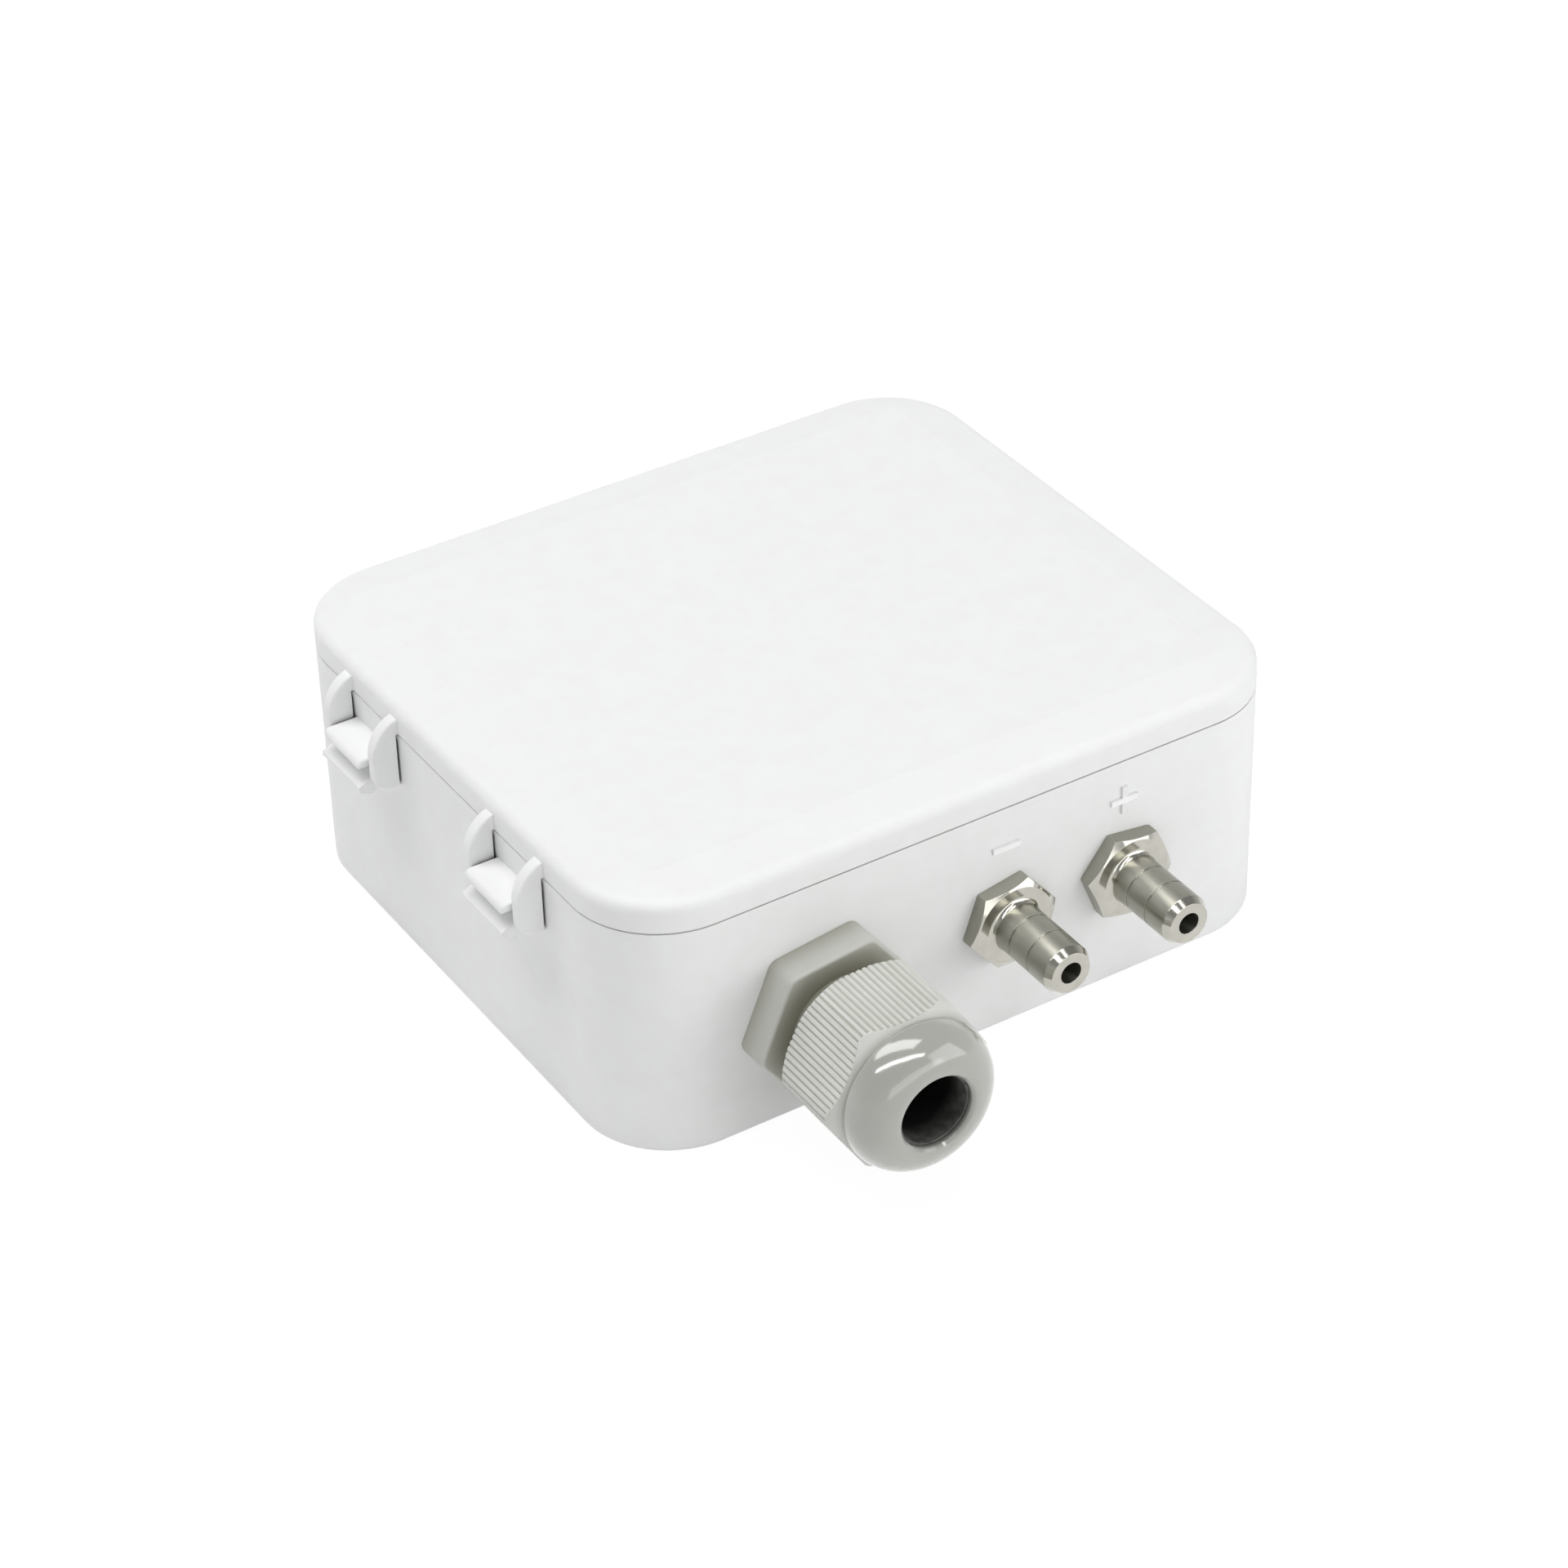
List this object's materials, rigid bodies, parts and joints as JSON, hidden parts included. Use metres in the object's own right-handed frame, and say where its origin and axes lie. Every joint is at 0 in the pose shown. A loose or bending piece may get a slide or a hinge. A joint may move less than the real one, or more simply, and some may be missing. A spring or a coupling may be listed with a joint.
{
  "type": "differential pressure transmitter",
  "caption": "Wall-mounted differential pressure transmitter: flat rounded case with a snap-fit lid, a ribbed cable gland and metal hose ports marked minus and plus.",
  "frame": {"origin": "centre of the flat back face, which lies against the wall", "axes": "+X along the port wall from the gland to the ports, +Y away from the port wall, +Z from the back face to the lid"},
  "size_m": [0.116, 0.1203, 0.0408],
  "materials": {
    "housing_plastic": "semi-gloss moulded ABS, pale grey",
    "gland_plastic": "satin moulded polyamide, light grey",
    "port_metal": "bright nickel plate on turned brass",
    "black_rubber": "matt black rubber",
    "grey_rubber": "matt grey rubber",
    "silicone": "milky silicone",
    "board_laminate": "green solder mask on glass laminate",
    "zinc_steel": "bright zinc plate",
    "cell_plastic": "cream thermoplastic",
    "terminal_plastic": "green polyamide",
    "black_plastic": "black thermoplastic",
    "button_plastic": "red thermoplastic",
    "can_aluminium": "sleeved aluminium can",
    "lamp_epoxy": "clear green epoxy"
  },
  "bodies": {
    "case": {"base_shell": "housing_plastic", "gland_body": "gland_plastic", "gland_seal": "black_rubber", "gland_gasket": "black_rubber", "gland_lock_nut": "gland_plastic", "port_minus": "port_metal", "port_plus": "port_metal", "port_washers": "zinc_steel", "port_lock_nuts": "port_metal", "hose_minus": "silicone", "hose_plus": "silicone", "circuit_board": "board_laminate", "board_screws": "zinc_steel", "sensor_cell": "cell_plastic", "terminal_block": "terminal_plastic", "terminal_screws": "zinc_steel", "zero_switch": "black_plastic", "service_header": "black_plastic", "controller_chip": "black_plastic", "capacitor": "can_aluminium", "status_lamp": "lamp_epoxy", "amplifiers": "black_plastic", "output_diode": "black_plastic", "resistors": "black_plastic"},
    "cover": {"lid": "housing_plastic", "lid_gasket": "grey_rubber"},
    "clamping_nut": {"gland_nut": "gland_plastic"},
    "button": {"zero_button": "button_plastic"}
  },
  "joints": [
    {"name": "lid_lift", "type": "slide", "parent": "case", "child": "cover", "axis": [0, 0, 1], "range_m": [0, 0.05]},
    {"name": "gland_nut_turn", "type": "hinge", "parent": "case", "child": "clamping_nut", "pos_m": [-0.0238, -0.06465, 0.0159], "axis": [0, -1, 0], "continuous": true},
    {"name": "zero_button_press", "type": "slide", "parent": "case", "child": "button", "axis": [0, 0, -1], "range_m": [0, 0.0004], "stiffness_N_per_m": 1500, "springref_m": -0.0005}
  ]
}
